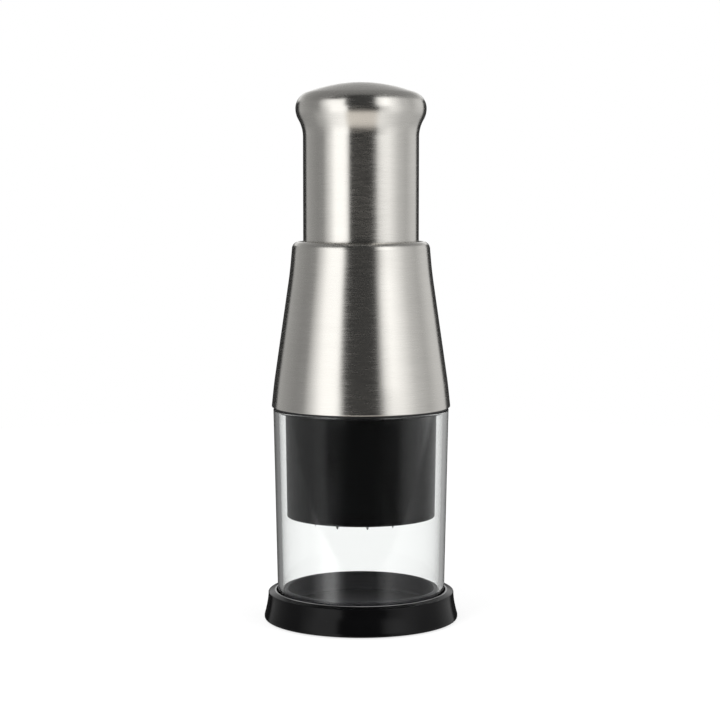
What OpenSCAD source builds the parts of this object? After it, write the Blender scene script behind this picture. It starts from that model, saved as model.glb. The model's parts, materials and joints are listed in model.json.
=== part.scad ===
// Plunger food chopper. The steel handle is pressed down against a spring, three folded
// blades go down through a clear cup, and a helical drive turns them a little each time.
// Millimetres, +Z up, origin on the table under the middle of the tray.

/* [Stroke] */
// How far the handle can be pressed down
travel = 26; // [22:0.5:31]
// How far the blades turn in one full stroke, in degrees
stroke_turn = 40; // [20:1:60]
// Least space under the bulge of the handle when it is pressed down
finger_gap = 5.05; // [3:0.05:12]

/* [Tray] */
// How far the rubber ring stands out under the tray
foot_proud = 0.3; // [0.2:0.05:0.6]
// Thickness of the rubber ring
foot_t = 1.6; // [1.2:0.1:2.4]
// Width of the rubber ring, on the radius
foot_w = 2.2; // [1.4:0.1:2.8]
// Thickness between the rubber ring and the cup's groove
tray_web = 1.6; // [1.2:0.1:2.4]
// Thickness of the dish's floor
tray_floor_t = 1.6; // [1.2:0.1:2.2]
// Height of the dish's floor above the bottom of the cup's groove
dish_rise = 0.8; // [0.4:0.1:2]
// Height of the rim's outer edge above the bottom of the cup's groove
tray_rim_h = 5.2; // [4:0.1:8]
// Width of the rim round the cup's groove
tray_rim_w = 2; // [1.4:0.1:4]
// How much higher the rim is beside the cup
tray_crown = 0.7; // [0.2:0.1:1.2]
// How far the skirt of the tray flares out past its rim
tray_flare = 1.2; // [0.4:0.1:3]
// Height of the plug wall above the bottom of the cup's groove
plug_h = 6.6; // [5:0.1:10]
// Thickness of the plug wall
plug_wall = 1.15; // [0.9:0.05:1.6]

/* [Cup] */
// Outer radius of the clear cup at its lower rim
cup_foot_r = 25.3; // [22:0.1:30]
// How much wider the cup is at its upper rim, on the radius
cup_flare = 1.3; // [0.6:0.1:2]
// Wall of the clear cup
cup_wall = 1.6; // [1.2:0.1:2]

/* [Guard] */
// Space between the guard's lower edge and the cup
guard_gap = 1.8; // [1.4:0.1:3]
// Wall of the guard
guard_wall = 1.2; // [0.9:0.1:1.6]
// How much wider the guard is at its top, on the radius
guard_draft = 0.4; // [0.1:0.1:0.6]
// Thickness of the wiper disc
wiper_t = 1.3; // [1:0.1:2]

/* [Blades] */
// Thickness of the blade strip
blade_t = 0.5; // [0.4:0.05:0.7]
// Angle between neighbouring corners of a folded blade
corner_step = 25.7; // [20:0.1:28]
// Radius at which the fold between the two lobes of a blade lies
valley_r = 8.5; // [7.5:0.1:11]
// Height of the pointed corner tips below the cutting edge
tip_h = 1.05; // [0.6:0.05:2]
// Radius of the drive shaft
shaft_r = 6; // [5:0.1:7]

/* [Head] */
// Height of the collar that carries the guard
collar_h = 8.3; // [7:0.1:12]
// Thickness of the floor that carries the spring
floor_t = 2.6; // [2:0.1:4]
// Wall of the guide tube round the handle
tube_wall = 1.05; // [0.8:0.05:1.3]
// Thickness of the steel cover
cover_wall = 0.6; // [0.4:0.05:0.8]
// How far the cover's hem stands out past the cup's upper rim
cover_proud = 0.5; // [0.2:0.05:1]
// Radius of the cover's shoulder
shoulder_r = 2.45; // [2:0.05:3]

/* [Handle] */
// Outer radius of the steel handle
cap_r = 17.42; // [15:0.01:20]
// Thickness of the handle's steel
cap_wall = 0.6; // [0.4:0.05:0.8]
// Length of the curve from the handle's side to its bulge
flare_h = 8.5; // [6:0.1:12]
// How far the bulge stands out past the handle's side
bulge_w = 2.25; // [1:0.05:3]
// Height of the crown above the widest part of the bulge
crown_h = 7.8; // [6.8:0.1:10]
// Radius of the crown's edge
crown_edge_r = 5.2; // [3:0.1:6]

/* [Spring] */
// Diameter of the spring's wire
wire_d = 1.2; // [0.9:0.05:1.4]
// Number of turns of the spring
spring_turns = 10; // [6:1:11]
// Length of the spring when the handle is pressed down
spring_short = 15.2; // [14:0.1:20]

/* [Hidden] */
$fn = 96;

// How far a cut runs past what it cuts
overrun = 0.5;
// Clearance between pieces that are fixed together
fit = 0.1;
// Clearance between round pieces that move past each other
slip = 0.3;
// Running clearance of a shaft in its bearing
running = 0.06;
// Small gap that keeps a moving face off its stop
rest_gap = 0.1;

// Heights, from the table up. The blade tips stay just over the dish when pressed.
tray_z = foot_proud;
seat_z = foot_t + tray_web;
dish_z = seat_z + dish_rise;
tip_gap = 0.45;
tip_z = dish_z + tip_gap + travel;
edge_z = tip_z + tip_h;
edge_proud = 0.4;
guard_z = edge_z + edge_proud;
guard_lip_t = 1;
wiper_z = guard_z + guard_lip_t + rest_gap;
hub_gap = 0.9;
hub_z = wiper_z + wiper_t + hub_gap + travel;
hub_drop = 3.3;
cup_top = hub_z + hub_drop;
flange_t = 0.6;
flange_top = cup_top + flange_t;
floor_z = flange_top + collar_h;
floor_top = floor_z + floor_t;
stop_gap = 0.2;
stop_z = floor_top + stop_gap + travel;
stop_h = 4.5;
cap_z = stop_z + stop_h;
bumper_t = 1.1;
tube_top = cap_z + bumper_t + rest_gap;
shoulder_rise = 4.9;
shoulder_z = tube_top + shoulder_rise;
cover_top = shoulder_z + shoulder_r;
flare_z = cover_top + travel + finger_gap;
bulge_z = flare_z + flare_h;
cap_top = bulge_z + crown_h;

// Radii of the cup and of the tray round it
cup_round = 0.4;
cup_top_r = cup_foot_r + cup_flare;
groove_gap = 0.3;
groove_r = cup_foot_r + groove_gap;
mouth_w = 0.7;
mouth_r = groove_r + mouth_w;
rim_r = mouth_r + tray_rim_w;
tray_r = rim_r + tray_flare;
plug_gap = 0.25;
plug_r = cup_foot_r - cup_wall - plug_gap;
dish_r = plug_r - plug_wall;

// Rounded edges of the tray, and the band at its foot
tray_foot_h = 1;
tray_foot_round = 0.5;
rim_round = 0.5;
mouth_round = 0.25;
plug_round = 0.4;
dish_round = 0.8;
skirt_steps = 8;
skirt_bend = 1.6;

// Groove for the rubber ring, and the ribs under the dish
foot_inset = 1.1;
foot_out_r = rim_r - foot_inset;
foot_in_r = foot_out_r - foot_w;
foot_round = 0.3;
foot_land = 0.9;
under_r = foot_in_r - fit - foot_land;
under_rib_n = 6;
under_rib_w = 1.2;
under_rib_h = 1.3;
under_hub_r = 6.2;

// Guard, wiper disc and hub, each inside the one before
guard_r = cup_in_r(guard_z) - guard_gap;
guard_top_r = guard_r + guard_draft;
guard_top = floor_z - slip;
guard_round = 0.3;
wiper_r = guard_r - guard_wall - slip;
wiper_ledge = 0.8;
bead_w = 0.25;
bead_r = wiper_r - bead_w;
bead_h = 0.4;
bead_gap = 0.2;
bead_ramp = 0.4;
hub_slip = 0.45;
hub_r = bead_r - hub_slip;
line_rise = 0.9;
line_h = 0.25;
line_d = 0.12;

// Bayonet lugs of the guard, and their slots in the collar
lug_n = 3;
lug_w = 1.3;
lug_h = 2;
lug_drop = 4;
lug_z = floor_z - lug_drop;
lug_half = 6;
lug_turn = 22;
lug_at = 30;
lug_play = 1;
lug_r = guard_top_r + lug_w;

// Blades: two lobes each, folded from one strip, with a bevelled lower edge
blade_n = 3;
blade_at = -97.85;
blade_inset = 1.1;
corner_r = hub_r - blade_inset;
inner_turn = 7.5;
blade_end_in = 0.5;
inner_r = shaft_r - blade_end_in;
tip_w = 0.8;
bevel_h = 0.7;
blade_root = 1.3;
slot_fit = 0.05;
wiper_slot = 0.45;

// Hub of the blades
plate_t = 2.2;
hub_rim_w = 1.1;
hub_rib_w = 1.4;
hub_rib_n = 6;
boss_wall = 2.5;
boss_r = shaft_r + boss_wall;
boss_gap = 1.5;
socket_t = 3.4;
socket_fit = 0.05;
flat_in = 1;

// Screws of the shaft
bolt_r = 1.5;
bolt_fit = 0.05;
bolt_head_r = 3.2;
bolt_head_h = 1.7;
bolt_head_fit = 0.3;
bolt_l = 9.5;
bolt_hole_spare = 0.6;
// Width of a screw head at its face, as a share of its width at its seat
head_face_share = 0.85;

// Bush that guides and turns the shaft, under the floor
bush_flange_t = 2.5;
bush_flange_w = 3.5;
bush_rise = 4;
bush_wall = 2.5;
bush_r = shaft_r + bush_wall;
bush_flange_r = bush_r + bush_flange_w;
bush_round = 0.4;
bush_screw_in = 1.7;
bush_screw_at = bush_r + bush_screw_in;
bush_screw_turn = 60;
bush_screw_n = 3;
bush_screw_r = 0.9;
bush_screw_l = 4.5;
bush_head_r = 1.5;
bush_head_h = 1.2;
boss_top = floor_z - bush_flange_t - bush_head_h - boss_gap;

// Helical flutes of the shaft, and the pins of the bush that run in them
pin_n = 3;
pin_r = 1.2;
pin_rise = 1;
pin_z = floor_top + pin_rise;
flute_d = 1.3;
flute_w = 2.8;
flute_below = 3;
flute_above = 4;
pin_clear = 0.25;
pin_root = 1.2;
turn_per_mm = stroke_turn / travel;
flute_slices = 16;
flute_sides = 8;

// Spring, its washer and the web of the handle's core above it
spring_in_gap = 1.5;
spring_r = bush_r + spring_in_gap + wire_d / 2;
spring_sides = 6;
spring_rings = 8;
end_pitch = 1.8;
spring_wash_t = 0.8;
spring_wash_w = 1.5;
wash_z = floor_top + travel + spring_short;
web_z = wash_z + spring_wash_t;
web_t = 3.3;
spigot_r = 4;
spigot_play = 0.15;
shaft_foot_z = hub_z + socket_t;
shaft_top = web_z - spigot_play;
spigot_top = web_z + web_t + spigot_play;
shaft_wash_t = 1;
shaft_wash_w = 3;

// Core of the handle, and the stop ring on its lower end
core_wall = 1.3;
core_r = cap_r - cap_wall - fit;
core_in_r = core_r - core_wall;
stop_w = 1.68;
stop_r = cap_r + stop_w;
stop_lip_t = 1;
core_z = stop_z + stop_lip_t;
bumper_in = 0.18;
bumper_round = 0.3;
bumper_edge = 0.1;
crown_drop = 3.3;
crown_z = flare_z - crown_drop;
crown_t = 2;
crown_hole_r = 5;
crown_rib_w = 1.4;
crown_rib_n = 6;
crown_ring_w = 1.4;

// Guide tube, guide ring and cover, outside the handle
tube_in_r = stop_r + slip;
tube_out_r = tube_in_r + tube_wall;
cover_tube_gap = 0.39;
cover_top_r = tube_out_r + cover_tube_gap;
opening_w = 1.48;
opening_r = cap_r + opening_w;
guide_gap = 0.28;
guide_r = cap_r + guide_gap;
ring_fit = 0.2;
ring_neck_in = 0.35;
ring_neck_drop = 0.25;
shoulder_at = [cover_top_r - shoulder_r, shoulder_z];
neck_drop = 6.8;
neck_w = 0.61;
neck_tilt = atan2(neck_w, neck_drop);
shoulder_end = acos((opening_r - shoulder_at.x) / shoulder_r);
shoulder_steps = 8;
band_h = 7.3;
band_in = 0.77;
cover_bend_r = 110;
// Most that a bend of the cover takes of the side beside it
bend_side_share = 0.45;
hem_z = flange_top + fit / 2;
hem_r = cup_top_r + cover_proud;
hem_w = 1.2;
hem_h = 1.35;
hem_round = 0.35;

// Collar of the head frame, its lip inside the cup, and the ribs outside the tube
collar_in_r = guard_top_r + slip;
lip_drop = 0.9;
lip_z = cup_top - lip_drop;
lip_r = cup_in_r(lip_z) - slip;
flange_in = 0.2;
flange_r = cup_top_r - flange_in;
collar_steps = 4;
head_rib_n = 8;
head_rib_w = 1.4;
head_rib_h = 26;
head_rib_z = floor_top + head_rib_h;
head_rib_in = 0.15;

// Radii of the cup's outer and inner side at a height
function cup_r(z) = cup_foot_r + cup_flare * (z - seat_z) / (cup_top - seat_z);
function cup_in_r(z) = cup_r(z) - cup_wall;

// Points on an arc, from point number first to the last one
function arc(c, r, a0, a1, n, first = 0) =
    [for (i = [first:n]) let (a = a0 + (a1 - a0) * i / n) c + r * [cos(a), sin(a)]];
function flip(p) = [for (i = [len(p) - 1:-1:0]) p[i]];
function flat(p) = [p.x, p.y];
function unit(v) = v / norm(v);
function left(v) = [-v.y, v.x];
function polar(r, a) = r * [cos(a), sin(a)];

// Sideways step at a point of a line, as long as keeps both neighbouring sides at 1
function side_step(p, i) =
    let (
        last = len(p) - 1,
        before = left(unit(flat(p[max(i, 1)]) - flat(p[max(i, 1) - 1]))),
        after = left(unit(flat(p[min(i, last - 1) + 1]) - flat(p[min(i, last - 1)])))
    )
    (before + after) / (1 + before * after);

// A line moved sideways by d, to its left; a point on the axis stays on it
function moved(p, d) = [
    for (i = [0:len(p) - 1])
        let (q = flat(p[i]) + d * side_step(p, i))
        [p[i].x == 0 ? 0 : q.x, q.y]
];
function ribbon(p, w) = concat(moved(p, w / 2), flip(moved(p, -w / 2)));

// An outline of [x, y, radius] corners, each rounded by its own radius
function rounded(p, n = 4) = [
    for (i = [0:len(p) - 1])
        let (
            v = flat(p[i]),
            last = len(p) - 1,
            a = unit(flat(p[i == 0 ? last : i - 1]) - v),
            b = unit(flat(p[i == last ? 0 : i + 1]) - v),
            half = acos(a * b) / 2,
            c = v + unit(a + b) * p[i][2] / sin(half),
            sweep = 180 - 2 * half,
            s = v + a * p[i][2] / tan(half) - c,
            e = v + b * p[i][2] / tan(half) - c
        )
        each p[i][2] == 0 ? [v] : [
            for (k = [0:n])
                c + (s * sin(sweep * (n - k) / n) + e * sin(sweep * k / n)) / sin(sweep)
        ]
];

// Solid of revolution between two radii and two heights, whole or a sector of it
module tube(r0, r1, z0, z1) {
    rotate_extrude()
        translate([r0, z0])
            square([r1 - r0, z1 - z0]);
}
module sector(r0, r1, z0, z1, a0, a1) {
    rotate([0, 0, a0])
        rotate_extrude(angle = a1 - a0)
            translate([r0, z0])
                square([r1 - r0, z1 - z0]);
}
module spokes(n, r0, r1, w, z0, z1, at = 0) {
    for (i = [0:n - 1])
        rotate([0, 0, at + i * 360 / n])
            translate([r0, -w / 2, z0])
                cube([r1 - r0, w, z1 - z0]);
}

// Screw with its shank up, its head's seat at z = 0 and a cross recess in its head
module screw(head_r, head_h, shank_r, length) {
    recess_d = head_h / 2;
    recess_w = head_r / 4;
    difference() {
        union() {
            translate([0, 0, -head_h])
                cylinder(r1 = head_r * head_face_share, r2 = head_r, h = head_h);
            cylinder(r = shank_r, h = length);
        }
        for (a = [0, 90])
            rotate([0, 0, a])
                translate([-head_r / 2, -recess_w / 2, -head_h - overrun])
                    cube([head_r, recess_w, recess_d + overrun]);
    }
}

// Outline of the tray's skirt, which flares out in a hollow curve towards its foot
skirt_z0 = tray_z + tray_foot_h;
skirt_z1 = seat_z + tray_rim_h - rim_round;
skirt = [
    for (k = [0:skirt_steps])
        let (t = k / skirt_steps)
        [rim_r + tray_flare * pow(1 - t, skirt_bend), skirt_z0 + (skirt_z1 - skirt_z0) * t, 0]
];

module base_tray() {
    under_z = dish_z - tray_floor_t;
    color("#1c1c1e") {
        rotate_extrude()
            polygon(rounded(concat(
                [
                    [0, under_z, 0],
                    [under_r, under_z, 0],
                    [under_r, tray_z, 0],
                    [foot_in_r - fit, tray_z, 0],
                    [foot_in_r - fit, foot_t, 0],
                    [foot_out_r + fit, foot_t, 0],
                    [foot_out_r + fit, tray_z, 0],
                    [tray_r, tray_z, tray_foot_round]
                ],
                skirt,
                [
                    [rim_r, seat_z + tray_rim_h, rim_round],
                    [mouth_r, seat_z + tray_rim_h + tray_crown, mouth_round],
                    [groove_r, seat_z, 0],
                    [plug_r, seat_z, 0],
                    [plug_r, seat_z + plug_h, plug_round],
                    [dish_r, seat_z + plug_h, plug_round],
                    [dish_r, dish_z, dish_round],
                    [0, dish_z, 0]
                ]
            )));
        spokes(under_rib_n, under_hub_r - under_rib_w / 2, under_r + fit, under_rib_w,
            under_z - under_rib_h, under_z + fit);
        tube(under_hub_r - under_rib_w, under_hub_r, under_z - under_rib_h, under_z + fit);
    }
}

module foot_ring() {
    color("#2a2a2a")
        rotate_extrude()
            polygon(rounded([
                [foot_in_r, 0, foot_round],
                [foot_out_r, 0, foot_round],
                [foot_out_r, foot_t, 0],
                [foot_in_r, foot_t, 0]
            ]));
}

module cup() {
    color("#dfe3e6", 0.35)
        rotate_extrude()
            polygon(rounded([
                [cup_foot_r, seat_z, cup_round],
                [cup_top_r, cup_top, cup_round],
                [cup_top_r - cup_wall, cup_top, cup_round],
                [cup_foot_r - cup_wall, seat_z, cup_round]
            ]));
}

// Outer line of the steel cover, from its hem up to its opening
band_top = [hem_r - band_in, hem_z + band_h];
neck_foot = [cover_top_r + neck_w, shoulder_z - neck_drop];
band_tilt = atan2(band_in, band_h);
cone_tilt = atan2(band_top.x - neck_foot.x, neck_foot.y - band_top.y);
function bend_r(turn, side) = min(cover_bend_r, bend_side_share * side / tan(abs(turn) / 2));
cover_line = concat(
    rounded([
        [hem_r, hem_z, 0],
        concat(band_top, [bend_r(cone_tilt - band_tilt, band_h)]),
        concat(neck_foot, [bend_r(cone_tilt - neck_tilt, neck_drop)]),
        [cover_top_r, shoulder_z, 0]
    ]),
    arc(shoulder_at, shoulder_r, neck_tilt, shoulder_end, shoulder_steps)
);
cover_inside = [for (p = moved(cover_line, cover_wall + fit)) [p.y, p.x]];
function cover_in_r(z) = lookup(z, cover_inside);

module cone_cover() {
    color("#b9b9b5")
        rotate_extrude()
            union() {
                polygon(concat(cover_line, flip(moved(cover_line, cover_wall))));
                polygon(rounded([
                    [hem_r - hem_w, hem_z, hem_round],
                    [hem_r, hem_z, 0],
                    [hem_r - band_in * hem_h / band_h, hem_z + hem_h, 0],
                    [hem_r - hem_w, hem_z + hem_h, hem_round]
                ]));
            }
}

module head_frame() {
    hem_in_r = hem_r - hem_w - fit;
    hem_top = hem_z + hem_h + fit;
    slot_r = lug_r + slip;
    slot_in_r = collar_in_r - overrun;
    slot_z0 = lug_z - slip;
    slot_z1 = lug_z + lug_h + slip;
    lug_end = lug_half + lug_play;
    entry_end = lug_half + lug_play / 2;
    color("#202022")
        difference() {
            union() {
                rotate_extrude()
                    polygon(concat(
                        [
                            [collar_in_r, lip_z],
                            [lip_r, lip_z],
                            [lip_r, cup_top],
                            [flange_r, cup_top],
                            [flange_r, flange_top],
                            [hem_in_r, flange_top],
                            [hem_in_r, hem_top]
                        ],
                        [
                            for (k = [0:collar_steps])
                                let (z = hem_top + (floor_top - hem_top) * k / collar_steps)
                                [cover_in_r(z), z]
                        ],
                        [
                            [tube_out_r, floor_top],
                            [tube_out_r, tube_top],
                            [tube_in_r, tube_top],
                            [tube_in_r, floor_top],
                            [bush_r + fit, floor_top],
                            [bush_r + fit, floor_z],
                            [collar_in_r, floor_z]
                        ]
                    ));
                intersection() {
                    rotate_extrude()
                        polygon([
                            [tube_out_r - fit, floor_top - fit],
                            [cover_in_r(floor_top) - head_rib_in, floor_top - fit],
                            [cover_in_r(head_rib_z) - head_rib_in, head_rib_z],
                            [tube_out_r - fit, head_rib_z]
                        ]);
                    spokes(head_rib_n, tube_in_r, hem_r, head_rib_w, floor_z,
                        tube_top);
                }
            }
            for (k = [0:lug_n - 1])
                rotate([0, 0, lug_at + k * 360 / lug_n]) {
                    sector(slot_in_r, slot_r, slot_z0, slot_z1, -lug_end, lug_turn + lug_end);
                    sector(slot_in_r - fit, slot_r + fit, lip_z - overrun,
                        slot_z0 + lug_h / 2, lug_turn - entry_end, lug_turn + entry_end);
                    sector(slot_in_r - 2 * fit, lip_r + overrun, lip_z - 2 * overrun, cup_top,
                        lug_turn - lug_end, lug_turn + lug_end);
                }
            for (k = [0:bush_screw_n - 1])
                rotate([0, 0, bush_screw_turn + k * 360 / bush_screw_n])
                    translate([bush_screw_at, 0, floor_z - overrun])
                        cylinder(r = bush_screw_r + bolt_fit,
                            h = bush_screw_l - bush_flange_t + fit + overrun);
        }
}

module guide_ring() {
    ring_r = shoulder_r - cover_wall - ring_fit;
    neck_r = opening_r - ring_neck_in;
    color("#161618")
        rotate_extrude()
            polygon(concat(
                [[guide_r, tube_top], [shoulder_at.x + ring_r, tube_top]],
                arc(shoulder_at, ring_r, 0, acos((neck_r - shoulder_at.x) / ring_r),
                    shoulder_steps),
                [[neck_r, cover_top - ring_neck_drop], [guide_r, cover_top - ring_neck_drop]]
            ));
}

module guide_bush() {
    color("#e8e6df")
        difference() {
            union() {
                rotate_extrude()
                    polygon(rounded([
                        [shaft_r + running, floor_z - bush_flange_t, 0],
                        [bush_flange_r, floor_z - bush_flange_t, bush_round],
                        [bush_flange_r, floor_z, 0],
                        [bush_r, floor_z, 0],
                        [bush_r, floor_top + bush_rise, bush_round],
                        [shaft_r + running, floor_top + bush_rise, 0]
                    ]));
                for (k = [0:pin_n - 1])
                    rotate([0, 0, k * 360 / pin_n])
                        translate([shaft_r - flute_d + pin_clear, 0, pin_z])
                            rotate([0, 90, 0])
                                cylinder(r = pin_r, h = flute_d - pin_clear + pin_root);
            }
            for (k = [0:bush_screw_n - 1])
                rotate([0, 0, bush_screw_turn + k * 360 / bush_screw_n])
                    translate([bush_screw_at, 0, floor_z - bush_flange_t - overrun])
                        cylinder(r = bush_screw_r + bolt_fit,
                            h = bush_flange_t + 2 * overrun);
        }
}

module bush_screws() {
    color("#c8c8c8")
        for (k = [0:bush_screw_n - 1])
            rotate([0, 0, bush_screw_turn + k * 360 / bush_screw_n])
                translate([bush_screw_at, 0, floor_z - bush_flange_t])
                    screw(bush_head_r, bush_head_h, bush_screw_r, bush_screw_l);
}

// Middle of the spring's wire: the end turns lie closer than the turns between them
spring_z0 = floor_top + wire_d / 2;
spring_z1 = wash_z - wire_d / 2;
mid_pitch = (spring_z1 - spring_z0 - 2 * end_pitch) / (spring_turns - 2);
function wire_z(turn) =
    turn < 1 ? spring_z0 + end_pitch * turn
    : turn > spring_turns - 1 ? spring_z1 - end_pitch * (spring_turns - turn)
    : spring_z0 + end_pitch + mid_pitch * (turn - 1);
wire_at = [
    for (i = [0:spring_turns * spring_rings])
        let (turn = i / spring_rings)
        concat(polar(spring_r, 360 * turn), [wire_z(turn)])
];
spring_least_gap = min([
    for (i = [0:len(wire_at) - 1], j = [i + spring_rings / 2:len(wire_at) - 1])
        norm(wire_at[i] - wire_at[j]) - wire_d
]);
echo(spring_least_gap = spring_least_gap);

module return_spring() {
    last = len(wire_at) - 1;
    points = [
        for (i = [0:last], s = [0:spring_sides - 1])
            let (
                a = 360 * i / spring_rings,
                b = 360 * s / spring_sides,
                out = wire_d / 2 * cos(b)
            )
            wire_at[i] + [out * cos(a), out * sin(a), wire_d / 2 * sin(b)]
    ];
    sides = [
        for (i = [0:last - 1], s = [0:spring_sides - 1])
            let (
                t = (s + 1) % spring_sides,
                here = i * spring_sides,
                next = here + spring_sides
            )
            each [[here + s, next + t, here + t], [here + s, next + s, next + t]]
    ];
    ends = [
        [for (s = [0:spring_sides - 1]) s],
        [for (s = [spring_sides - 1:-1:0]) last * spring_sides + s]
    ];
    color("#a9abad")
        polyhedron(points, concat(sides, ends));
}

// Outer line of the handle: side, hollow curve, bulge, crown's edge and domed crown
bulge_r = cap_r + bulge_w;
flare_turn = 2 * atan(bulge_w / flare_h);
flare_sum = flare_h / sin(flare_turn);
bulge_share = 0.39;
belly_r = bulge_share * flare_sum;
hollow_r = flare_sum - belly_r;
edge_at = [bulge_r - crown_edge_r, bulge_z];
dome_r = (edge_at.x * edge_at.x + crown_h * crown_h - crown_edge_r * crown_edge_r)
    / (2 * (crown_h - crown_edge_r));
dome_z = cap_top - dome_r;
dome_turn = atan2(bulge_z - dome_z, edge_at.x);
curve_steps = 6;
cap_line = concat(
    [[cap_r, cap_z]],
    arc([cap_r + hollow_r, flare_z], hollow_r, 180, 180 - flare_turn, curve_steps),
    arc([bulge_r - belly_r, bulge_z], belly_r, -flare_turn, 0, curve_steps, 1),
    arc(edge_at, crown_edge_r, 0, dome_turn, curve_steps, 1),
    arc([0, dome_z], dome_r, dome_turn, 90, curve_steps, 1)
);

module press_cap() {
    color("#bdbdb9")
        rotate_extrude()
            polygon(concat(cap_line, flip(moved(cap_line, cap_wall))));
}

module cap_core() {
    crown_top = crown_z + crown_t;
    color("#1e1e20")
        union() {
            rotate_extrude()
                polygon([
                    [core_in_r, core_z],
                    [core_r, core_z],
                    [core_r, crown_top],
                    [crown_hole_r, crown_top],
                    [crown_hole_r, crown_z],
                    [core_in_r, crown_z],
                    [core_in_r, web_z + web_t],
                    [spigot_r + running, web_z + web_t],
                    [spigot_r + running, web_z],
                    [core_in_r, web_z]
                ]);
            intersection() {
                rotate_extrude()
                    polygon(concat([[0, cap_z]], moved(cap_line, cap_wall + fit)));
                union() {
                    spokes(crown_rib_n, crown_hole_r, bulge_r, crown_rib_w,
                        crown_top - fit, cap_top);
                    tube(crown_hole_r, crown_hole_r + crown_ring_w, crown_top - fit, cap_top);
                }
            }
        }
}

module stop_ring() {
    color("#1a1a1c")
        rotate_extrude()
            polygon([
                [core_in_r, stop_z],
                [stop_r, stop_z],
                [stop_r, cap_z],
                [core_r + fit, cap_z],
                [core_r + fit, core_z],
                [core_in_r, core_z]
            ]);
}

module bumper_ring() {
    color("#3a3a3a")
        rotate_extrude()
            polygon(rounded([
                [cap_r + bumper_in, cap_z, 0],
                [stop_r - bumper_edge, cap_z, 0],
                [stop_r - bumper_edge, cap_z + bumper_t, bumper_round],
                [cap_r + bumper_in, cap_z + bumper_t, bumper_round]
            ]));
}

module spring_washer() {
    color("#c4c4c4")
        tube(spring_r - spring_wash_w, spring_r + spring_wash_w, wash_z, web_z);
}

module press_shaft() {
    flute_z0 = pin_z - flute_below;
    flute_z1 = pin_z + travel + flute_above;
    hole_r = bolt_r + bolt_fit;
    hole_l = bolt_l + bolt_hole_spare;
    flat_at = shaft_r - flat_in;
    color("#9a9c9e")
        difference() {
            union() {
                translate([0, 0, shaft_foot_z])
                    cylinder(r = shaft_r, h = shaft_top - shaft_foot_z);
                translate([0, 0, shaft_foot_z])
                    cylinder(r = spigot_r, h = spigot_top - shaft_foot_z);
            }
            for (a = [0, 180])
                rotate([0, 0, a])
                    translate([flat_at, -shaft_r, shaft_foot_z - overrun])
                        cube([shaft_r, 2 * shaft_r, boss_top - shaft_foot_z + overrun]);
            translate([0, 0, shaft_foot_z - overrun])
                cylinder(r = hole_r, h = hole_l - socket_t + bolt_head_h + overrun);
            translate([0, 0, spigot_top + shaft_wash_t - hole_l])
                cylinder(r = hole_r, h = hole_l);
            rotate([0, 0, turn_per_mm * flute_below])
                translate([0, 0, flute_z0])
                    linear_extrude(height = flute_z1 - flute_z0,
                        twist = turn_per_mm * (flute_z1 - flute_z0), slices = flute_slices,
                        segments = flute_sides)
                        for (k = [0:pin_n - 1])
                            rotate(k * 360 / pin_n)
                                translate([shaft_r - flute_d, -flute_w / 2])
                                    square([flute_d + overrun, flute_w]);
        }
}

module shaft_washer() {
    color("#c4c4c4")
        tube(bolt_r + bolt_fit, spigot_r + shaft_wash_w, spigot_top, spigot_top + shaft_wash_t);
}

module shaft_screw() {
    color("#c8c8c8")
        translate([0, 0, spigot_top + shaft_wash_t])
            mirror([0, 0, 1])
                screw(bolt_head_r, bolt_head_h, bolt_r, bolt_l);
}

module hub_screw() {
    color("#c8c8c8")
        translate([0, 0, hub_z + bolt_head_h])
            screw(bolt_head_r, bolt_head_h, bolt_r, bolt_l);
}

// Middle line of one folded blade, its middle on +X
corner_a = corner_step / 2;
corner_b = corner_a + corner_step;
blade_line = [
    polar(inner_r, -corner_b - inner_turn),
    polar(corner_r, -corner_b),
    polar(corner_r, -corner_a),
    polar(valley_r, 0),
    polar(corner_r, corner_a),
    polar(corner_r, corner_b),
    polar(inner_r, corner_b + inner_turn)
];
blade_corners = [1, 2, 4, 5];

// The same line with the height of the cutting edge, which drops to a tip at each corner
blade_edge = [
    for (i = [0:len(blade_line) - 1])
        let (
            p = blade_line[i],
            corner = len(search(i, blade_corners)) > 0
        )
        each !corner ? [[p.x, p.y, edge_z]] : [
            concat(p + tip_w * unit(blade_line[i - 1] - p), [edge_z]),
            [p.x, p.y, tip_z],
            concat(p + tip_w * unit(blade_line[i + 1] - p), [edge_z])
        ]
];

module blade(number) {
    top = hub_z + blade_root;
    last = len(blade_edge) - 1;
    points = [
        for (i = [0:last])
            let (
                p = flat(blade_edge[i]),
                z = blade_edge[i].z,
                out = side_step(blade_edge, i) * blade_t / 2
            )
            each [
                concat(p + out, [top]),
                concat(p + out, [z + bevel_h]),
                concat(p, [z]),
                concat(p - out, [z + bevel_h]),
                concat(p - out, [top])
            ]
    ];
    ring = 5;
    sides = [
        for (i = [0:last - 1], s = [0:ring - 1])
            let (
                t = (s + 1) % ring,
                here = i * ring,
                next = here + ring
            )
            each [[here + s, here + t, next + t], [here + s, next + t, next + s]]
    ];
    ends = [
        [for (s = [ring - 1:-1:0]) s],
        [for (s = [0:ring - 1]) last * ring + s]
    ];
    color("#d2d4d6")
        rotate([0, 0, blade_at + (number - 1) * 360 / blade_n])
            polyhedron(points, concat(sides, ends));
}
module blade_1() {
    blade(1);
}
module blade_2() {
    blade(2);
}
module blade_3() {
    blade(3);
}

// Slots that follow the three blades, with a gap on each side of the strip
module blade_slots(gap, z0, z1) {
    for (k = [0:blade_n - 1])
        rotate([0, 0, blade_at + k * 360 / blade_n])
            translate([0, 0, z0])
                linear_extrude(height = z1 - z0)
                    polygon(ribbon(blade_line, blade_t + 2 * gap));
}

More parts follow.
